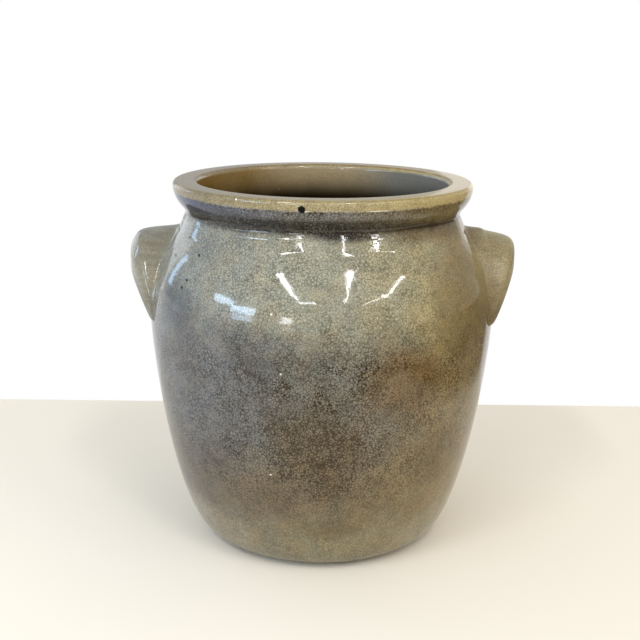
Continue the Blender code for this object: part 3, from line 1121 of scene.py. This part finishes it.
floor_material = bpy.data.materials.new("Pale floor")
floor_material.use_nodes = True
table = Recipe(floor_material.node_tree)
table.nodes.clear()
where = table.add("ShaderNodeTexCoord", {}).outputs["Object"]
ray = table.add("ShaderNodeLightPath", {}).outputs
to_side, along, _ = table.axes(where)
in_front = table.ramp(along, *FRONT_EDGE, 1.0, 0.0)
past_wall = table.math("MAXIMUM", table.minus(along, WALL_FOOT), 0.0)
at_right = table.ramp(table.minus(to_side, table.times(past_wall, WALL_SLANT)), *RIGHT_EDGE)
dark = table.times(table.math("MAXIMUM", in_front, at_right), ray["Is Glossy Ray"])
top = table.add("ShaderNodeBsdfDiffuse", {"Color": table.mix(dark, FLOOR_COLOUR, DARK_ROOM)})
wall = table.add("ShaderNodeEmission", {"Color": WHITE})
behind = table.math("GREATER_THAN", along, WALL_FOOT)
mirrored = table.times(ray["Is Glossy Ray"], table.minus(1.0, at_right))
glows = table.times(behind, table.math("MAXIMUM", ray["Is Camera Ray"], mirrored))
pick = table.add("ShaderNodeMixShader", {0: glows, 1: top.outputs[0], 2: wall.outputs[0]})
table.add("ShaderNodeOutputMaterial", {"Surface": pick.outputs[0]})
floor_data.materials.append(floor_material)
print("the wall stands", WALL_FOOT, "m behind the jar's axis")

# %% [markdown]
# ## The light
# A gloss glaze is a mirror, so the room matters as much as the lamps. The world is a soft room
# that is brighter towards the ceiling, a little blue from the left and warm from the right. Its
# level is such that a colour renders about as it is written. The camera sees plain white there.
# An image of a real room would do the same work, but it couldn't be changed lamp by lamp.

# %% World
LEFT_LIGHT = (0.86, 0.93, 1.0, 1.0)
RIGHT_LIGHT = (1.0, 0.94, 0.84, 1.0)
LOW_LEVEL = 0.58
CEILING_LEVEL = 0.78
CEILING_EDGE = (-0.05, 0.65)

world = bpy.data.worlds.new("Room")
bpy.context.scene.world = world
world.use_nodes = True
sky = Recipe(world.node_tree)
sky.nodes.clear()
direction = sky.add("ShaderNodeTexCoord", {}).outputs["Generated"]
sideways, _, upwards = sky.axes(direction)
ray = sky.add("ShaderNodeLightPath", {}).outputs
level = sky.ramp(upwards, *CEILING_EDGE, LOW_LEVEL, CEILING_LEVEL)
tint = sky.mix(sky.ramp(sideways, -0.8, 0.8), LEFT_LIGHT, RIGHT_LIGHT)
room = sky.add("ShaderNodeBackground", {"Color": tint, "Strength": level}).outputs[0]
backdrop = sky.add("ShaderNodeBackground", {"Color": WHITE}).outputs[0]
shown = sky.add("ShaderNodeMixShader", {0: ray["Is Camera Ray"], 1: room, 2: backdrop})
sky.add("ShaderNodeOutputWorld", {"Surface": shown.outputs[0]})
print("world", world.name)

# %% [markdown]
# ## Lamps
# Each highlight on the jar is the mirror image of something bright in the room. The short strokes
# near the collar are strip lights below the ceiling, the blue panes at the left are windows, and
# the pale bands along the jar's sides are walls. All are flat area lamps. A lamp's strength is
# given as a radiance, which is how bright its image looks in a mirror, and Blender's watts follow
# from it and the lamp's area. Glowing planes would look the same in the glaze, but lamps light
# the floor with less noise.

# %% Tools for placing lamps
CEILING = 2.20
LAMP_AIM = Vector((0.0, 0.0, 0.22))
LAMP_DISTANCE = 1.5
STRIP_RADIANCE = 36.0
PLAIN_LIGHT = (1.0, 1.0, 1.0)


def lamp(name, place, size, radiance, colour):
    """A flat lamp that faces the jar."""
    data = bpy.data.lights.new(name, "AREA")
    data.shape = "RECTANGLE"
    data.size, data.size_y = size
    data.energy = radiance * math.pi * size[0] * size[1]
    data.color = colour
    made = put(name, data)
    made.location = place
    made.rotation_euler = (Vector(place) - LAMP_AIM).to_track_quat("Z", "Y").to_euler()
    return made


def around(turn, height):
    """A place at the lamps' distance, turned from the front towards the right by an angle."""
    angle = math.radians(turn)
    return Vector((LAMP_DISTANCE * math.sin(angle), -LAMP_DISTANCE * math.cos(angle), height))


def strip(name, near, far, width):
    """A strip light that faces straight down, between two places over the floor."""
    run = Vector(far) - Vector(near)
    middle = (Vector(near) + Vector(far)) / 2
    place = (middle.x, middle.y, CEILING)
    made = lamp(name, place, (width, run.length), STRIP_RADIANCE, PLAIN_LIGHT)
    made.rotation_euler = (0.0, 0.0, math.atan2(-run.x, run.y))


# %% Strip lights, windows and pale walls
DAYLIGHT = (0.56, 0.77, 1.0)
DEEP_DAYLIGHT = (0.42, 0.66, 1.0)
PALE_DAYLIGHT = (0.92, 0.97, 1.0)
LEFT_WALL = (0.95, 0.98, 1.0)
RIGHT_WALL = (1.0, 0.97, 0.92)
STRIPS = (
    ("Left strip", (-1.00, -1.25), (-1.00, -2.30), 0.16),
    ("Left strip end", (-1.00, -2.30), (-1.00, -4.10), 0.08),
    ("Middle strip", (0.63, -1.20), (0.80, -2.20), 0.13),
    ("Middle strip end", (0.80, -2.20), (1.13, -4.15), 0.07),
    ("Right strip", (2.15, -0.90), (2.65, -2.60), 0.10),
    ("Right strip end", (2.65, -2.60), (2.30, -4.45), 0.06),
    ("Right cross strip", (2.33, -2.45), (2.95, -2.85), 0.12),
    ("Cross strip", (-0.98, -4.06), (-0.35, -4.02), 0.10),
)
WINDOWS = (
    ("Upper window", around(-65, 0.62), (0.42, 0.12), 13.0, DAYLIGHT),
    ("Middle window", around(-50, 0.50), (0.46, 0.16), 15.0, DAYLIGHT),
    ("Lower window", around(-50, 0.32), (0.36, 0.16), 8.0, DAYLIGHT),
    ("Side window", around(-118, 0.57), (0.12, 0.50), 5.0, DEEP_DAYLIGHT),
    ("Small window", around(-21, 0.38), (0.20, 0.22), 12.0, PALE_DAYLIGHT),
    ("Small window sill", around(-20, 0.165), (0.18, 0.03), 4.0, PALE_DAYLIGHT),
    ("Left wall", around(-137, 0.50), (0.70, 0.75), 1.0, LEFT_WALL),
    ("Right wall", around(150, 0.44), (0.70, 0.46), 0.45, RIGHT_WALL),
    ("Right wall end", around(157, 0.42), (0.72, 0.52), 0.50, RIGHT_WALL),
)
for name, near, far, width in STRIPS:
    strip(name, near, far, width)
for name, place, size, radiance, colour in WINDOWS:
    lamp(name, place, size, radiance, colour)
